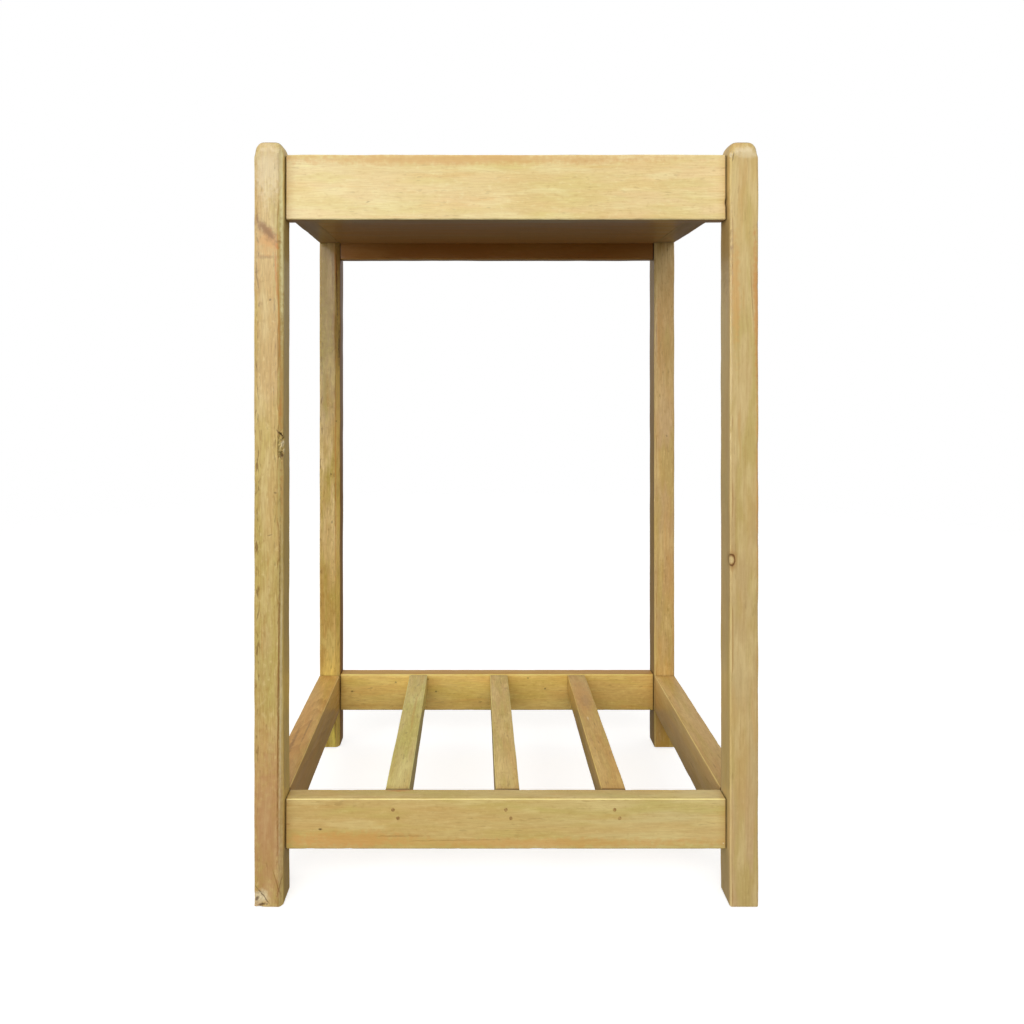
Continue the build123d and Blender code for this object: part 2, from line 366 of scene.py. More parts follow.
    for facing, share, coat_and_shading_colour in coats_and_shading:
        side = on_vectors(tree, "DOT_PRODUCT", where["Normal"], facing, result=1)
        patchy = remap(tree, speckle(tree, own, (22.0, 22.0, 5.0), 3.0), 0.3, 0.7, share * 0.75, share)
        coat_and_shading_share = sum_up(tree, "MULTIPLY", remap(tree, side, 0.72, 0.95), patchy)
        colour = blend_colour(tree, coat_and_shading_share, colour, linear(*coat_and_shading_colour))
    if joined:  # glue and dust darken a rail's ends, and the dark line at the seam is also painted shade of the gap beside the post
        from_end = sum_up(tree, "SUBTRACT", length / 2, sum_up(tree, "ABSOLUTE", along))
        colour = blend_colour(tree, remap(tree, from_end, 0.013, 0.0, 0.0, 0.3), colour, deep)
        seam = remap(tree, from_end, 0.0026, 0.0006, 0.0, 0.85)
        colour = blend_colour(tree, seam, colour, linear(88, 54, 24))

    tree.links.new(colour, shader.inputs["Base Color"])
    brushed = speckle(tree, own, (70.0, 70.0, 9.0), 3.0)
    tree.links.new(remap(tree, brushed, 0.3, 0.7, 0.34, 0.52), shader.inputs["Roughness"])
    shader.inputs["Specular IOR Level"].default_value = 0.3
    shader.inputs["Coat Weight"].default_value = gloss
    shader.inputs["Coat Roughness"].default_value = 0.13

    # Raised fibres under the varnish, and the varnish's own lazy ripple
    raised = sum_up(tree, "MULTIPLY_ADD", fibre, 0.35, sum_up(tree, "MULTIPLY", chatter, 0.9))
    height = sum_up(tree, "MULTIPLY_ADD", speckle(tree, own, (110.0, 110.0, 35.0)), 1.6, raised)
    bump = place_node(tree, "ShaderNodeBump", {"Height": height, "Strength": 0.4, "Distance": 0.0006})
    tree.links.new(bump.outputs[0], shader.inputs["Normal"])
    return made


def planed_timber_tree():
    """A squared length of timber with eased edges, as a rule that all the boards share.

    A cube's grid is spread so that three rows of cells fall in each rounded edge, and then each
    point is pushed out from the flat core by the edge's radius. One long arris of a post may be
    planed off broader than the rest, and its top end is domed.
    """
    tree = bpy.data.node_groups.new("planed_timber", "GeometryNodeTree")
    sockets = {
        "Geometry": ["Geometry"],
        "Vector": ["Size", "Edge Radius", "Broad Side"],
        "Float": [
            "Cell", "Broad Arris", "End Wear", "Crown", "Shoulder", "Shoulder Drop", "Unevenness",
            "Bruising", "Seed",
        ],
        "Material": ["Material"],
    }
    for kind, names in sockets.items():
        for name in names:
            tree.interface.new_socket(name, in_out="INPUT", socket_type=f"NodeSocket{kind}")
    tree.interface.new_socket("Geometry", in_out="OUTPUT", socket_type="NodeSocketGeometry")
    given = tree.nodes.new("NodeGroupInput").outputs
    result = tree.nodes.new("NodeGroupOutput")
    edge_cells = 3
    least = 1e-6  # keeps a division by zero away where there is no dome

    def split(vector):
        return place_node(tree, "ShaderNodeSeparateXYZ", {0: vector}).outputs

    cells = on_vectors(tree, "CEIL", on_vectors(tree, "DIVIDE", given["Size"], given["Cell"]))
    cells = on_vectors(tree, "ADD", cells, (2 * edge_cells,) * 3)
    counts = split(on_vectors(tree, "ADD", cells, (1, 1, 1)))
    cube = place_node(tree, "GeometryNodeMeshCube", {
        "Size": (2, 2, 2), "Vertices X": counts[0], "Vertices Y": counts[1], "Vertices Z": counts[2],
    })
    spot = tree.nodes.new("GeometryNodeInputPosition").outputs[0]
    half = scaled(tree, given["Size"], 0.5)
    core = on_vectors(tree, "SUBTRACT", half, given["Edge Radius"])
    edge_share = on_vectors(tree, "DIVIDE", (2 * edge_cells,) * 3, cells)
    flat_share = on_vectors(tree, "SUBTRACT", (1, 1, 1), edge_share)
    reach = on_vectors(tree, "ABSOLUTE", spot)
    on_flat = on_vectors(tree, "MINIMUM", on_vectors(tree, "DIVIDE", reach, flat_share), (1, 1, 1))
    past_flat = on_vectors(tree, "MAXIMUM", on_vectors(tree, "SUBTRACT", reach, flat_share), (0, 0, 0))
    in_edge = on_vectors(tree, "DIVIDE", past_flat, on_vectors(tree, "SUBTRACT", (1, 1, 1), flat_share))
    outward = on_vectors(tree, "NORMALIZE", in_edge)
    core_spot = on_vectors(tree, "MULTIPLY", core, on_flat)
    edge_spot = on_vectors(tree, "MULTIPLY", given["Edge Radius"], outward)
    one_corner = on_vectors(tree, "ADD", core_spot, edge_spot)
    rounded = on_vectors(tree, "MULTIPLY", one_corner, on_vectors(tree, "SIGN", spot))

    # The broad arris: one corner is planed off flat, wider in some places than in others
    seeds = {axis: given["Seed"] for axis in range(3)}
    seed = place_node(tree, "ShaderNodeCombineXYZ", seeds).outputs[0]
    up_the_board = on_vectors(tree, "MULTIPLY_ADD", rounded, (0, 0, 1), seed)
    strokes = remap(tree, speckle(tree, up_the_board, (1.0, 1.0, 11.0), 3.0), 0.3, 0.7, 0.78, 1.12)
    breadth = sum_up(tree, "MULTIPLY", given["Broad Arris"], strokes)
    towards_side = on_vectors(tree, "MULTIPLY", rounded, given["Broad Side"])
    inset = split(on_vectors(tree, "SUBTRACT", half, towards_side))
    short = sum_up(tree, "SUBTRACT", breadth, sum_up(tree, "ADD", inset[0], inset[1]))
    planed_off = sum_up(tree, "MULTIPLY", sum_up(tree, "MAXIMUM", short, 0.0), 0.5)
    planing = place_node(tree, "ShaderNodeCombineXYZ", {0: planed_off, 1: planed_off}).outputs[0]
    planing = on_vectors(tree, "MULTIPLY", planing, given["Broad Side"])
    rounded = on_vectors(tree, "SUBTRACT", rounded, planing)

    # How far round an edge each point lies, for the rubbed varnish and its painted highlight
    shares = split(on_vectors(tree, "ABSOLUTE", outward))
    long_edge = sum_up(tree, "MULTIPLY", shares[0], shares[1])
    ends = [sum_up(tree, "MULTIPLY", shares[axis], shares[2]) for axis in (0, 1)]
    end_edge = sum_up(tree, "MULTIPLY", sum_up(tree, "MAXIMUM", *ends), given["End Wear"])
    most = sum_up(tree, "MULTIPLY", sum_up(tree, "MAXIMUM", long_edge, end_edge), 2.0)
    fully_planed = 0.0005
    planed_share = sum_up(tree, "MINIMUM", sum_up(tree, "DIVIDE", planed_off, fully_planed), 1.0)
    roundness = sum_up(tree, "MAXIMUM", most, planed_share)
    stored = place_node(tree, "GeometryNodeStoreNamedAttribute", {
        "Geometry": cube.outputs["Mesh"], "Name": "arris", "Value": roundness,
    }, data_type="FLOAT", domain="POINT")
    shaping = {"Geometry": stored.outputs[0], "Position": rounded}
    shaped = place_node(tree, "GeometryNodeSetPosition", shaping)

    # The dome: points sink by their distance from the middle, and the sides' top rows follow them
    spot = tree.nodes.new("GeometryNodeInputPosition").outputs[0]
    sides = split(on_vectors(tree, "DIVIDE", spot, half))
    squareness = 5.0
    powers = []
    for axis in (0, 1):
        powers.append(sum_up(tree, "POWER", sum_up(tree, "ABSOLUTE", sides[axis]), squareness))
    outness = sum_up(tree, "POWER", sum_up(tree, "ADD", *powers), 1 / squareness)
    half_sizes = split(half)
    shoulder = sum_up(tree, "DIVIDE", given["Shoulder"], half_sizes[0])
    into_shoulder = sum_up(tree, "SUBTRACT", outness, sum_up(tree, "SUBTRACT", 1.0, shoulder))
    over = sum_up(tree, "DIVIDE", into_shoulder, sum_up(tree, "MAXIMUM", shoulder, least))
    over = sum_up(tree, "MINIMUM", sum_up(tree, "MAXIMUM", over, 0.0), 1.0)
    circle = sum_up(tree, "SQRT", sum_up(tree, "SUBTRACT", 1.0, sum_up(tree, "MULTIPLY", over, over)))
    fall = sum_up(tree, "MULTIPLY", sum_up(tree, "SUBTRACT", 1.0, circle), given["Shoulder Drop"])
    bulge = sum_up(tree, "MULTIPLY", outness, outness)
    fall = sum_up(tree, "MULTIPLY_ADD", bulge, given["Crown"], fall)
    past_outline = sum_up(tree, "MAXIMUM", sum_up(tree, "SUBTRACT", outness, 1.0), 0.0)
    steep = sum_up(tree, "MULTIPLY", given["Shoulder Drop"], 5.0)
    fall = sum_up(tree, "MULTIPLY_ADD", past_outline, steep, fall)
    dome_depth = sum_up(tree, "MULTIPLY_ADD", given["Shoulder Drop"], 4.0, least)
    below_top = sum_up(tree, "SUBTRACT", half_sizes[2], split(spot)[2])
    down_the_dome = sum_up(tree, "MINIMUM", sum_up(tree, "DIVIDE", below_top, dome_depth), 1.0)
    near_top = sum_up(tree, "SUBTRACT", 1.0, down_the_dome)
    sink = sum_up(tree, "MULTIPLY", sum_up(tree, "MULTIPLY", fall, near_top), -1.0)
    drop = place_node(tree, "ShaderNodeCombineXYZ", {2: sink}).outputs[0]
    doming = {"Geometry": shaped.outputs[0], "Offset": drop}
    domed = place_node(tree, "GeometryNodeSetPosition", doming)

    # Planing leaves the faces a little hollow, and knocks bruise the arrises inwards
    own = on_vectors(tree, "ADD", tree.nodes.new("GeometryNodeInputPosition").outputs[0], seed)
    hollows = remap(tree, speckle(tree, own, (16.0,) * 3, 1.0), 0.3, 0.7)
    hollow = sum_up(tree, "MULTIPLY", hollows, given["Unevenness"])
    knocked = remap(tree, speckle(tree, own, (70.0,) * 3, 1.0), 0.55, 0.75)
    read = place_node(tree, "GeometryNodeInputNamedAttribute", {"Name": "arris"}, data_type="FLOAT")
    knocked_arris = sum_up(tree, "MULTIPLY", knocked, read.outputs[0])
    bruise = sum_up(tree, "MULTIPLY", knocked_arris, given["Bruising"])
    inwards = sum_up(tree, "MULTIPLY", sum_up(tree, "ADD", hollow, bruise), -1.0)
    offset = scaled(tree, tree.nodes.new("GeometryNodeInputNormal").outputs[0], inwards)
    wearing = {"Geometry": domed.outputs[0], "Offset": offset}
    worn = place_node(tree, "GeometryNodeSetPosition", wearing)
    smooth = place_node(tree, "GeometryNodeSetShadeSmooth", {"Geometry": worn.outputs[0]})
    whole = place_node(tree, "GeometryNodeRealizeInstances", {"Geometry": smooth.outputs[0]})
    finishing = {"Geometry": whole.outputs[0], "Material": given["Material"]}
    finished = place_node(tree, "GeometryNodeSetMaterial", finishing)
    tree.links.new(finished.outputs[0], result.inputs[0])
    return tree


timber_tree = planed_timber_tree()


def settle(piece):
    """Turns what a piece's modifiers make into its own plain mesh."""
    made = bpy.data.meshes.new_from_object(piece.evaluated_get(bpy.context.evaluated_depsgraph_get()))
    piece.modifiers.clear()
    piece.data = made
    made.name = piece.name


def carve(piece, tool):
    """Takes the room of a hidden piece out of a board."""
    cutting = piece.modifiers.new("cutting", "BOOLEAN")
    cutting.operation = "DIFFERENCE"
    cutting.solver = "EXACT"
    cutting.object = tool
    settle(piece)


def tear(piece, place, halves, depth):
    """Breaks a ragged hollow into a board's surface, finer than the rest of its mesh."""
    refined_reach = 1.5
    torn_reach = 1.3
    crumbs_a_metre = 420
    rim_width = 0.35
    shape = bmesh.new()
    shape.from_mesh(piece.data)

    def nearness(point):
        return Vector((point[axis] - place[axis]) / halves[axis] for axis in range(3)).length

    for _ in range(2):
        close = []
        for edge in shape.edges:
            if all(nearness(end.co) < refined_reach for end in edge.verts):
                close.append(edge)
        bmesh.ops.subdivide_edges(shape, edges=close, cuts=1, use_grid_fill=True)
    shape.normal_update()
    moves = {}
    for point in shape.verts:
        near = nearness(point.co)
        if near < torn_reach:
            rough = noise.fractal(point.co * crumbs_a_metre, 1.0, 2.0, 3)
            share = max(0.0, min(1.0, (1.15 + 0.25 * rough - near) / rim_width))
            moves[point] = -point.normal * depth * share * (1.0 + 0.55 * rough)
    for point, move in moves.items():
        point.co += move
    shape.to_mesh(piece.data)
    shape.free()


def timber(name, corners, edge_radius, material, settings=None, let_in=(), tears=()):
    """One board from the rule above, standing where these corners say, as a plain mesh.

    let_in names the hidden pieces whose room is taken out of the wood.
    """
    start, end = corners
    piece = bpy.data.objects.new(name, bpy.data.meshes.new(name))
    bpy.context.scene.collection.objects.link(piece)
    shaping = piece.modifiers.new("shaping", "NODES")
    shaping.node_group = timber_tree
    values = {
        "Size": end - start, "Edge Radius": edge_radius, "Cell": 0.005, "End Wear": 1.0,
        "Unevenness": 0.0005, "Bruising": 0.0007, "Material": material,
    }
    values.update(settings or {})
    for socket in timber_tree.interface.items_tree:
        if socket.in_out == "INPUT" and socket.name in values:
            shaping[socket.identifier] = values[socket.name]
    settle(piece)
    piece.data.transform(Matrix.Translation((start + end) / 2))
    for node in let_in:
        carve(piece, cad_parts[node])
    for place, halves, depth in tears:
        tear(piece, place, halves, depth)
    weighting = piece.modifiers.new("weighting", "WEIGHTED_NORMAL")
    weighting.weight = 60
    settle(piece)
    return piece


def fit(piece, node):
    """A finished board takes its frame node's place."""
    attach(piece, "root")
    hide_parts(node)


post_edges = (0.0025, 0.0025, 0.0010)
post_dome = {
    "Cell": 0.0028, "End Wear": 0.0, "Crown": 0.0028, "Shoulder": 0.0075, "Shoulder Drop": 0.0115,
}
end_grain = ((0, 0, 1), 0.75, (130, 94, 46))
# Each post's tones are painted paler where the lamps light it more and darker where the tray and the
# shelf shade it. Its inner side is painted as light and shade too: paler on the front posts, darker on
# the rear ones.
posts = {
    "front_left": {
        "heart": (0.050, 0.035, 0.012, -0.006),
        "tones_and_light": ((196, 152, 106), (208, 184, 122), (217, 192, 123), (214, 190, 108), (251, 232, 178)),
        "inner": ((1, 0, 0), 0.6, (250, 217, 122)),
        "broad": (0.0054, (1, -1, 0)), "cloud": 1.0, "specks": 1.25, "wear_and_highlight": 0.35,
        "marks": [
            ("amber", (-0.2790, -0.193, 0.781), (0.0130, 0.012, 0.0150), 0, 0.8),
            ("smoke_and_shade", (-0.2812, -0.193, 0.7935), (0.0070, 0.010, 0.0230), 42, 0.75),
            ("smoke_and_shade", (-0.2800, -0.193, 0.7925), (0.0028, 0.010, 0.0180), 42, 0.6),
            ("smoke_and_shade", (-0.2826, -0.193, 0.7628), (0.0120, 0.010, 0.0028), 0, 0.42),
            # The pale patch near the top is painted light, and the worn strip on the planed arris below
            # it a painted highlight.
            ("bare_and_highlight", (-0.2790, -0.193, 0.8700), (0.0200, 0.012, 0.0400), 0, 0.45),
            ("worn", (-0.2622, -0.1905, 0.800), (0.0036, 0.008, 0.1250), 0, 1.0),
            ("flecks", (-0.2915, -0.193, 0.480), (0.0028, 0.008, 0.3600), 0, 0.8),
            ("flecks", (-0.2715, -0.193, 0.600), (0.0016, 0.008, 0.2600), 0, 0.5),
            ("resin", (-0.2697, -0.193, 0.740), (0.0012, 0.006, 0.0340), 2, 0.75),
            ("resin", (-0.2690, -0.193, 0.775), (0.0022, 0.006, 0.0048), 20, 0.85),
            ("bark", (-0.2767, -0.193, 0.712), (0.0016, 0.004, 0.0014), 30, 0.55),
            ("amber", (-0.2645, -0.192, 0.574), (0.0032, 0.006, 0.0240), 0, 0.75),
            ("resin", (-0.2652, -0.192, 0.586), (0.0014, 0.006, 0.0160), 0, 0.5),
            ("resin", (-0.2664, -0.192, 0.6900), (0.0010, 0.008, 0.0850), 1, 0.65),
            ("bark", (-0.2650, -0.190, 0.5540), (0.0012, 0.010, 0.0070), 35, 0.95),
            ("bark", (-0.2632, -0.190, 0.5500), (0.0010, 0.010, 0.0042), -40, 0.9),
            ("bare_and_highlight", (-0.2634, -0.190, 0.5440), (0.0024, 0.010, 0.0054), -20, 1.0),
            ("bark", (-0.2648, -0.190, 0.5310), (0.0024, 0.010, 0.0075), 12, 0.8),
            ("bare_and_highlight", (-0.2620, -0.189, 0.5350), (0.0012, 0.010, 0.0040), 0, 0.9),
            ("amber", (-0.2634, -0.192, 0.610), (0.0026, 0.006, 0.0420), 0, 0.55),
            ("amber", (-0.2636, -0.192, 0.490), (0.0024, 0.006, 0.0440), 0, 0.6),
            ("bark", (-0.2708, -0.193, 0.4857), (0.0019, 0.004, 0.0013), 0, 0.5),
            ("bark", (-0.2764, -0.193, 0.4366), (0.0034, 0.004, 0.0008), 10, 0.45),
            ("rose", (-0.2790, -0.193, 0.0900), (0.0220, 0.014, 0.1050), 0, 0.6),
            ("smoke_and_shade", (-0.2668, -0.193, 0.270), (0.0010, 0.006, 0.2500), -0.5, 0.75),
            # The pale line on the planed arris lower down is a painted highlight.
            ("bare_and_highlight", (-0.2646, -0.192, 0.270), (0.0009, 0.006, 0.2300), -0.5, 0.45),
            ("bare_and_highlight", (-0.2890, -0.193, 0.0120), (0.0090, 0.010, 0.0110), -40, 0.7),
            ("bark", (-0.2925, -0.193, 0.0100), (0.0024, 0.006, 0.0040), -38, 0.8),
            ("bark", (-0.2860, -0.193, 0.0035), (0.0060, 0.006, 0.0018), 10, 0.8),
            ("bark", (-0.2850, -0.193, 0.0140), (0.0009, 0.006, 0.0150), 38, 0.75),
            ("smoke_and_shade", (-0.2690, -0.193, 0.0280), (0.0008, 0.006, 0.0200), 16, 0.6),
            ("smoke_and_shade", (-0.2655, -0.193, 0.0260), (0.0008, 0.006, 0.0180), -14, 0.6),
        ],
        "tears": [
            ((-0.2640, -0.1900, 0.5410), (0.0044, 0.006, 0.0150), 0.0020),
            ((-0.2900, -0.193, 0.0080), (0.0080, 0.004, 0.0110), 0.0009),
        ],
    },
    "front_right": {
        "heart": (-0.055, 0.030, -0.010, 0.008),
        "tones_and_light": ((212, 180, 130), (212, 187, 132), (208, 179, 124), (220, 194, 134), (222, 194, 124)),
        "inner": ((-1, 0, 0), 0.4, (238, 208, 136)),
        "broad": (0.0026, (-1, -1, 0)), "cloud": 0.8, "specks": 0.5, "wear_and_highlight": 0.4,
        "marks": [
            ("knot", (0.2640, -0.192, 0.4073), (0.0040, 0.006, 0.0066), 0, 0.9),
            ("resin", (0.2930, -0.193, 0.700), (0.0030, 0.012, 0.0950), 1, 0.6),
            ("amber", (0.2945, -0.192, 0.500), (0.0020, 0.010, 0.1300), 0, 0.6),
            ("smoke_and_shade", (0.2880, -0.193, 0.715), (0.0006, 0.006, 0.0400), 3, 0.5),
            ("amber", (0.2690, -0.193, 0.720), (0.0050, 0.010, 0.0700), 0, 0.5),
            # The pale band on the dome's shoulder is a painted highlight.
            ("bare_and_highlight", (0.2820, -0.193, 0.8850), (0.0170, 0.012, 0.0070), 0, 0.5),
            ("bark", (0.2660, -0.192, 0.8800), (0.0007, 0.005, 0.0050), -10, 0.7),
            ("bare_and_highlight", (0.2640, -0.191, 0.8830), (0.0014, 0.005, 0.0036), 0, 0.8),
            ("smoke_and_shade", (0.2620, -0.176, 0.780), (0.004, 0.024, 0.0600), 0, 0.6),
        ],
        "tears": [((0.2632, -0.1915, 0.8820), (0.0022, 0.003, 0.0060), 0.0008)],
    },
    "rear_left": {
        "heart": (0.040, -0.045, 0.008, 0.010),
        "tones_and_light": ((255, 234, 107), (222, 186, 112), (246, 219, 156), (166, 137, 78), (140, 108, 42)),
        "inner": ((1, 0, 0), 0.85, (162, 106, 32)),
        "broad": (0.0070, (1, -1, 0)), "cloud": 1.3, "specks": 1.3, "wear_and_highlight": 0.6,
        "marks": [
            ("resin", (-0.2685, 0.159, 0.800), (0.0026, 0.010, 0.0300), 3, 0.7),
            ("bark", (-0.2672, 0.161, 0.770), (0.0010, 0.010, 0.0560), 1, 0.8),
            ("bark", (-0.2640, 0.163, 0.670), (0.0014, 0.010, 0.0300), 0, 0.75),
            ("resin", (-0.2690, 0.160, 0.450), (0.0012, 0.010, 0.2000), 0, 0.5),
            ("smoke_and_shade", (-0.2740, 0.159, 0.780), (0.0016, 0.008, 0.0400), 0, 0.5),
            # The wide smoky patch over the top of the front face is a painted shadow of the tray.
            ("smoke_and_shade", (-0.2790, 0.159, 0.810), (0.0400, 0.030, 0.1600), 0, 0.34),
            ("flecks", (-0.2930, 0.159, 0.500), (0.0024, 0.008, 0.3000), 0, 0.7),
            ("bark", (-0.2675, 0.159, 0.5445), (0.0012, 0.004, 0.0020), 0, 0.6),
            ("bark", (-0.2765, 0.159, 0.4560), (0.0018, 0.004, 0.0022), 30, 0.5),
            ("bark", (-0.2748, 0.159, 0.3760), (0.0018, 0.004, 0.0024), 0, 0.5),
        ],
        "tears": [],
    },
    "rear_right": {
        "heart": (-0.035, 0.050, 0.006, -0.012),
        "tones_and_light": ((208, 164, 74), (208, 174, 118), (218, 184, 134), (244, 211, 149), (248, 221, 150)),
        "inner": ((-1, 0, 0), 0.9, (158, 126, 74)),
        "broad": (0.0026, (-1, -1, 0)), "cloud": 0.8, "specks": 0.9, "wear_and_highlight": 0.35,
        "marks": [
            ("amber", (0.2690, 0.159, 0.700), (0.0030, 0.010, 0.0600), 0, 0.5),
            ("bark", (0.2830, 0.159, 0.520), (0.0014, 0.004, 0.0022), 0, 0.4),
        ],
        "tears": [],
    },
}
for number, (corner, facts) in enumerate(posts.items()):
    node = f"post_{corner}"
    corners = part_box(node)
    finish = varnished_pine(
        f"pine_{node}", sum(corners, Vector()) / 2, "Z", facts["heart"], facts["tones_and_light"],
        corners[1].z - corners[0].z, cloud=facts["cloud"], specks=facts["specks"],
        wear_and_highlight=facts["wear_and_highlight"], marks=facts["marks"], joined=False, coats_and_shading=[facts["inner"], end_grain],
    )
    arris, side = facts["broad"]
    settings = {**post_dome, "Broad Arris": arris, "Broad Side": side, "Seed": number + 1.0}
    let_in = [f"dowels_{level}_{rail}" for level in ("top", "shelf") for rail in corner.split("_")]
    name = f"varnished_{node}"
    post = timber(name, corners, post_edges, finish, settings, let_in, facts["tears"])
    fit(post, node)


# Top rails: pine boards, the front one deepest and palest, the rear one browner and a little
# shallower, and two side rails as thick as the posts. They are dowelled between the posts and
# grooved for the panel.
rail_edges = {"X": (0.0016, 0.0020, 0.0020), "Y": (0.0020, 0.0016, 0.0020)}
# The front and rear rails' undersides are painted darker and browner as shade.
painted_shade_below = ((0, 0, -1), 0.8, (206, 156, 92))
top_rails = {
    "front": {
        "grain": "X", "heart": (0.060, -0.090, 0.02, 0.015),
        "tones_and_light": ((246, 224, 164), (238, 212, 144), (252, 226, 168)), "coats_and_shading": [painted_shade_below],
        "figure": 0.6, "cloud": 0.55, "specks": 0.6, "gloss": 0.3,
        "marks": [
            ("amber", (-0.060, -0.182, 0.8800), (0.2400, 0.010, 0.0070), 0, 0.55),
            ("smoke_and_shade", (-0.1638, -0.182, 0.8295), (0.0026, 0.004, 0.0007), 20, 0.6),
            ("bark", (0.2608, -0.182, 0.8290), (0.0008, 0.004, 0.0050), 4, 0.8),
        ],
        "tears": [((0.2612, -0.1815, 0.8290), (0.0016, 0.003, 0.0042), 0.0008)],
    },
    "rear": {
        "grain": "X", "heart": (-0.050, 0.070, -0.02, 0.01), "tones_and_light": ((205, 160, 90), (205, 160, 90)),
        # The inner face is painted dark brown as shade under the tray.
        "coats_and_shading": [((0, -1, 0), 0.92, (152, 92, 12)), painted_shade_below],
        "figure": 1.0, "cloud": 1.0, "specks": 0.8, "gloss": 0.12,
        "marks": [], "tears": [],
    },
    "left": {
        "grain": "Y", "heart": (0.055, 0.060, 0.015, 0.01),
        "tones_and_light": ((214, 180, 116), (214, 180, 116)),
        # The underside is painted a little darker and warmer, as shade.
        "coats_and_shading": [((0, 0, -1), 0.7, (216, 172, 116))],
        "figure": 1.0, "cloud": 1.0, "specks": 0.8, "gloss": 0.2,
        "marks": [], "tears": [],
    },
    "right": {
        "grain": "Y", "heart": (-0.065, 0.050, 0.015, -0.01),
        "tones_and_light": ((214, 180, 116), (214, 180, 116)),
        # The underside is painted paler, as light.
        "coats_and_shading": [((0, 0, -1), 0.6, (226, 184, 124))],
        "figure": 1.0, "cloud": 1.0, "specks": 0.8, "gloss": 0.2,
        "marks": [], "tears": [],
    },
}
for number, (side, facts) in enumerate(top_rails.items()):
    node = f"top_rail_{side}"
    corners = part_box(node)
    size = corners[1] - corners[0]
    finish = varnished_pine(
        f"pine_{node}", sum(corners, Vector()) / 2, facts["grain"], facts["heart"], facts["tones_and_light"],
        size.x if facts["grain"] == "X" else size.y,
        figure=facts["figure"], cloud=facts["cloud"], specks=facts["specks"], marks=facts["marks"],
        coats_and_shading=facts["coats_and_shading"], gloss=facts["gloss"],
    )
    let_in = [f"dowels_top_{side}", "top_panel"]
    settings = {"Seed": number + 11.0}
    edges = rail_edges[facts["grain"]]
    rail = timber(f"varnished_{node}", corners, edges, finish, settings, let_in, facts["tears"])
    fit(rail, node)


# Tray panel: one wide pine board, tongued on all four edges into the rails. Its shape is the frame's
# own. Underneath, where it faces the floor, it is painted darker and browner as shade.
panel_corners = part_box("top_panel")
panel_finish = varnished_pine(
    "pine_top_panel", sum(panel_corners, Vector()) / 2, "X", (0.02, 0.16, 0.02, 0.03),
    ((222, 188, 122), (222, 188, 122)), panel_corners[1].x - panel_corners[0].x,
    ring=0.0065, joined=False, coats_and_shading=[((0, 0, -1), 0.9, (222, 168, 98))], gloss=0.3,
)
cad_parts["top_panel"].data.materials.clear()
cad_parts["top_panel"].data.materials.append(panel_finish)


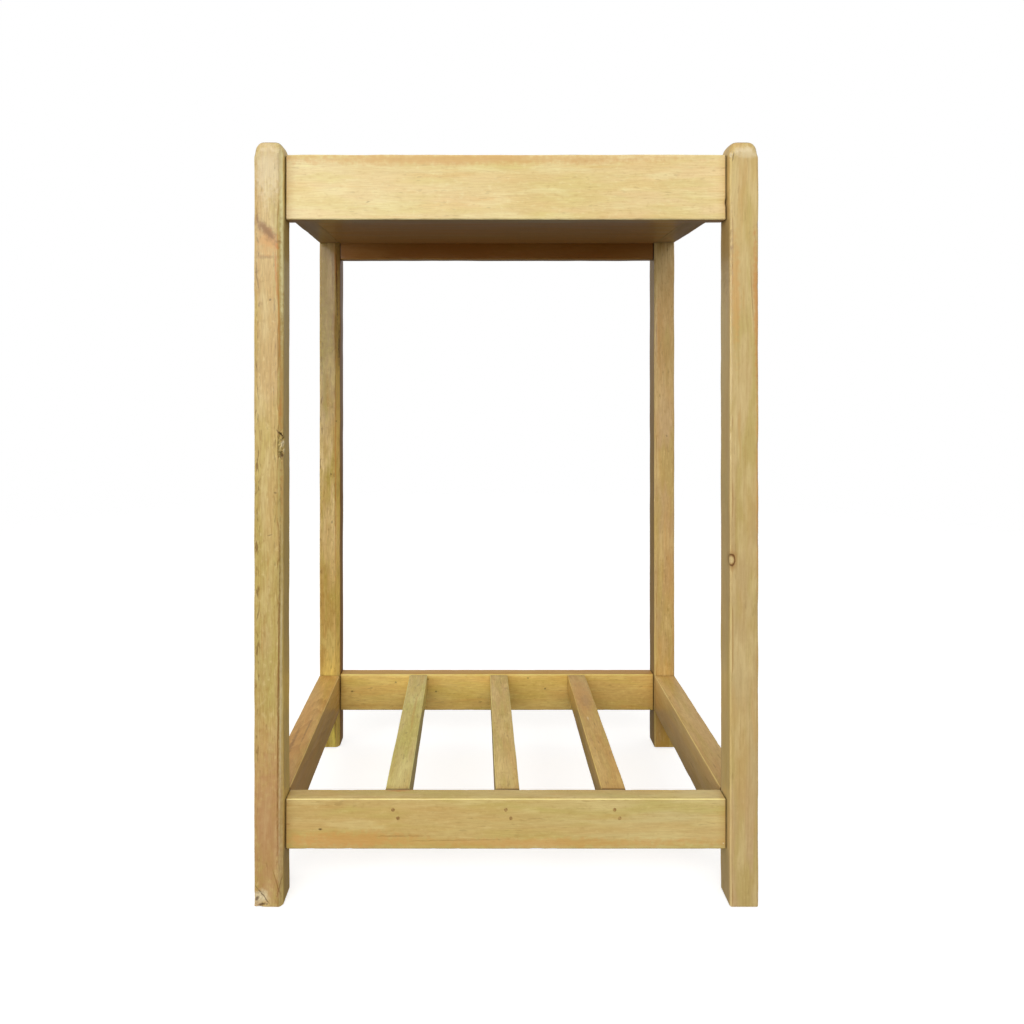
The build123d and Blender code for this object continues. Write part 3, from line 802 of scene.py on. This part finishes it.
# Shelf rails: four pine boards of one height, dowelled between the posts near the floor. The slats
# are nailed through the front and rear ones, and the holes filled.
shelf_rails = {
    "front": {
        "grain": "X", "heart": (0.050, -0.060, 0.01, -0.03),
        "tones_and_light": ((216, 184, 116), (222, 196, 126), (226, 206, 144)), "coats_and_shading": [],
        "figure": 0.5, "cloud": 0.75, "specks": 0.6,
        "marks": [
            ("bark", (-0.2206, -0.182, 0.0851), (0.0026, 0.004, 0.0013), 0, 0.85),
            ("smoke_and_shade", (-0.2590, -0.182, 0.0910), (0.0030, 0.004, 0.0012), 0, 0.5),
            ("amber", (-0.1900, -0.182, 0.0730), (0.0900, 0.010, 0.0100), 0, 0.7),
            ("amber", (0.0500, -0.182, 0.0690), (0.2200, 0.010, 0.0060), 0, 0.55),
            ("smoke_and_shade", (-0.1250, -0.182, 0.0770), (0.0320, 0.006, 0.0012), 0, 0.35),
            ("smoke_and_shade", (-0.0600, -0.182, 0.0720), (0.0600, 0.006, 0.0009), 1, 0.3),
            ("resin", (-0.1290, -0.164, 0.1210), (0.0150, 0.004, 0.0040), 0, 0.7),
            ("bare_and_highlight", (0.2580, -0.182, 0.0683), (0.0010, 0.003, 0.0010), 0, 1.0),
        ],
    },
    "rear": {
        "grain": "X", "heart": (-0.040, 0.050, 0.02, 0.02),
        "tones_and_light": ((254, 220, 130), (244, 208, 120), (232, 194, 113)),
        "coats_and_shading": [((0, 0, 1), 0.75, (192, 134, 54))], "figure": 0.8, "cloud": 0.7, "specks": 0.9,
        "marks": [
            ("bark", (-0.2420, 0.162, 0.0925), (0.0020, 0.004, 0.0018), 0, 0.6),
            ("bark", (-0.1686, 0.162, 0.1080), (0.0016, 0.004, 0.0014), 0, 0.6),
            ("bark", (-0.1018, 0.162, 0.0925), (0.0018, 0.004, 0.0016), 0, 0.6),
            ("bark", (-0.1150, 0.162, 0.1130), (0.0014, 0.004, 0.0014), 0, 0.5),
            ("bark", (0.0519, 0.162, 0.1150), (0.0016, 0.004, 0.0014), 0, 0.5),
            ("bark", (0.0803, 0.162, 0.0975), (0.0018, 0.004, 0.0016), 0, 0.6),
        ],
    },
    "left": {
        "grain": "Y", "heart": (0.004, 0.010, 0.01, 0.16), "tones_and_light": ((226, 180, 108), (232, 190, 112)),
        "coats_and_shading": [((1, 0, 0), 0.4, (222, 182, 110))], "figure": 3.0, "cloud": 0.9, "specks": 0.8,
        "marks": [
            ("amber", (-0.2760, -0.050, 0.121), (0.0140, 0.050, 0.010), 0, 0.5),
            ("smoke_and_shade", (-0.2860, -0.065, 0.121), (0.0028, 0.060, 0.020), 0, 0.55),
            ("smoke_and_shade", (-0.2745, -0.020, 0.121), (0.0013, 0.045, 0.020), 0, 0.5),
        ],
    },
    "right": {
        "grain": "Y", "heart": (-0.050, 0.060, 0.02, 0.03), "tones_and_light": ((222, 184, 116), (224, 188, 120)),
        # The inner face is painted paler, as light from the left.
        "coats_and_shading": [((-1, 0, 0), 0.4, (240, 206, 140))], "figure": 0.6, "cloud": 0.8, "specks": 0.8,
        "marks": [
            ("bark", (0.2620, -0.047, 0.0860), (0.004, 0.0100, 0.0010), 0, 0.5),
            ("bark", (0.2620, -0.110, 0.1020), (0.004, 0.0080, 0.0010), 0, 0.5),
            ("bark", (0.2620, 0.036, 0.1080), (0.004, 0.0060, 0.0010), 0, 0.4),
        ],
    },
}
for number, (side, facts) in enumerate(shelf_rails.items()):
    node = f"shelf_rail_{side}"
    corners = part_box(node)
    size = corners[1] - corners[0]
    finish = varnished_pine(
        f"pine_{node}", sum(corners, Vector()) / 2, facts["grain"], facts["heart"], facts["tones_and_light"],
        size.x if facts["grain"] == "X" else size.y, figure=facts["figure"], cloud=facts["cloud"],
        specks=facts["specks"], marks=facts["marks"], coats_and_shading=facts["coats_and_shading"],
    )
    let_in = [f"dowels_shelf_{side}"]
    if facts["grain"] == "X":
        let_in += [f"slat_nails_{side}", f"nail_filler_{side}"]
    settings = {"Seed": number + 21.0, "Unevenness": 0.0001 if facts["grain"] == "X" else 0.0005}
    rail = timber(f"varnished_{node}", corners, rail_edges[facts["grain"]], finish, settings, let_in)
    fit(rail, node)


# Slats: three narrow pine boards laid front to back between the shelf rails, level with their tops,
# with two nails in each end. The right one has a brown patch towards the back and a spot of glue.
slats = {
    "left": {
        "heart": (0.030, 0.080, 0.02, 0.01), "tones_and_light": ((232, 212, 132), (234, 214, 134)), "marks": [],
    },
    "middle": {
        "heart": (-0.025, 0.070, 0.01, 0.02), "tones_and_light": ((234, 204, 130), (230, 196, 122)), "marks": [],
    },
    "right": {
        "heart": (0.028, 0.060, 0.03, 0.01), "tones_and_light": ((228, 190, 112), (220, 182, 104)),
        "marks": [
            ("amber", (0.1310, 0.080, 0.121), (0.0150, 0.060, 0.006), 0, 0.6),
            ("smoke_and_shade", (0.1330, 0.068, 0.121), (0.0090, 0.022, 0.005), 0, 0.3),
            ("bare_and_highlight", (0.1285, 0.0135, 0.121), (0.0016, 0.006, 0.003), 0, 0.4),
        ],
    },
}
slat_ring = 0.0030
for number, (side, facts) in enumerate(slats.items()):
    node = f"slat_{side}"
    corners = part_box(node)
    finish = varnished_pine(
        f"pine_{node}", sum(corners, Vector()) / 2, "Y", facts["heart"], facts["tones_and_light"],
        corners[1].y - corners[0].y, ring=slat_ring, marks=facts["marks"],
    )
    let_in = ["slat_nails_front", "slat_nails_rear"]
    settings = {"Cell": 0.004, "Seed": number + 31.0}
    slat = timber(f"varnished_{node}", corners, rail_edges["Y"], finish, settings, let_in)
    fit(slat, node)


# Fixings: beech dowels hidden in the rail ends, and wire nails through the shelf rails into the
# slats, sunk below the surface under brown filler. Their shapes are the frame's own.
def plain_finish(name, colour, other, scale, roughness, metallic=0.0):
    """A mottled finish for a small piece, between two colours."""
    made = bpy.data.materials.new(name)
    made.use_nodes = True
    tree = made.node_tree
    shader = tree.nodes["Principled BSDF"]
    where = place_node(tree, "ShaderNodeTexCoord")
    mottle = speckle(tree, where.outputs["Object"], (scale,) * 3, 3.0)
    tint = blend_colour(tree, remap(tree, mottle, 0.3, 0.7), linear(*colour), linear(*other))
    tree.links.new(tint, shader.inputs["Base Color"])
    bump = place_node(tree, "ShaderNodeBump", {"Height": mottle, "Strength": 0.4, "Distance": 0.0004})
    tree.links.new(bump.outputs[0], shader.inputs["Normal"])
    shader.inputs["Roughness"].default_value = roughness
    shader.inputs["Metallic"].default_value = metallic
    return made


fixing_finishes = {
    "dowels": plain_finish("beech", (206, 172, 132), (190, 150, 108), 400.0, 0.6),
    "slat_nails": plain_finish("nail_wire", (176, 176, 178), (140, 140, 142), 900.0, 0.35, 1.0),
    "nail_filler": plain_finish("filler", (204, 170, 104), (150, 110, 58), 300.0, 0.5),
}
for node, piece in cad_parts.items():
    for kind, finish in fixing_finishes.items():
        if node.startswith(kind):
            piece.data.materials.clear()
            piece.data.materials.append(finish)
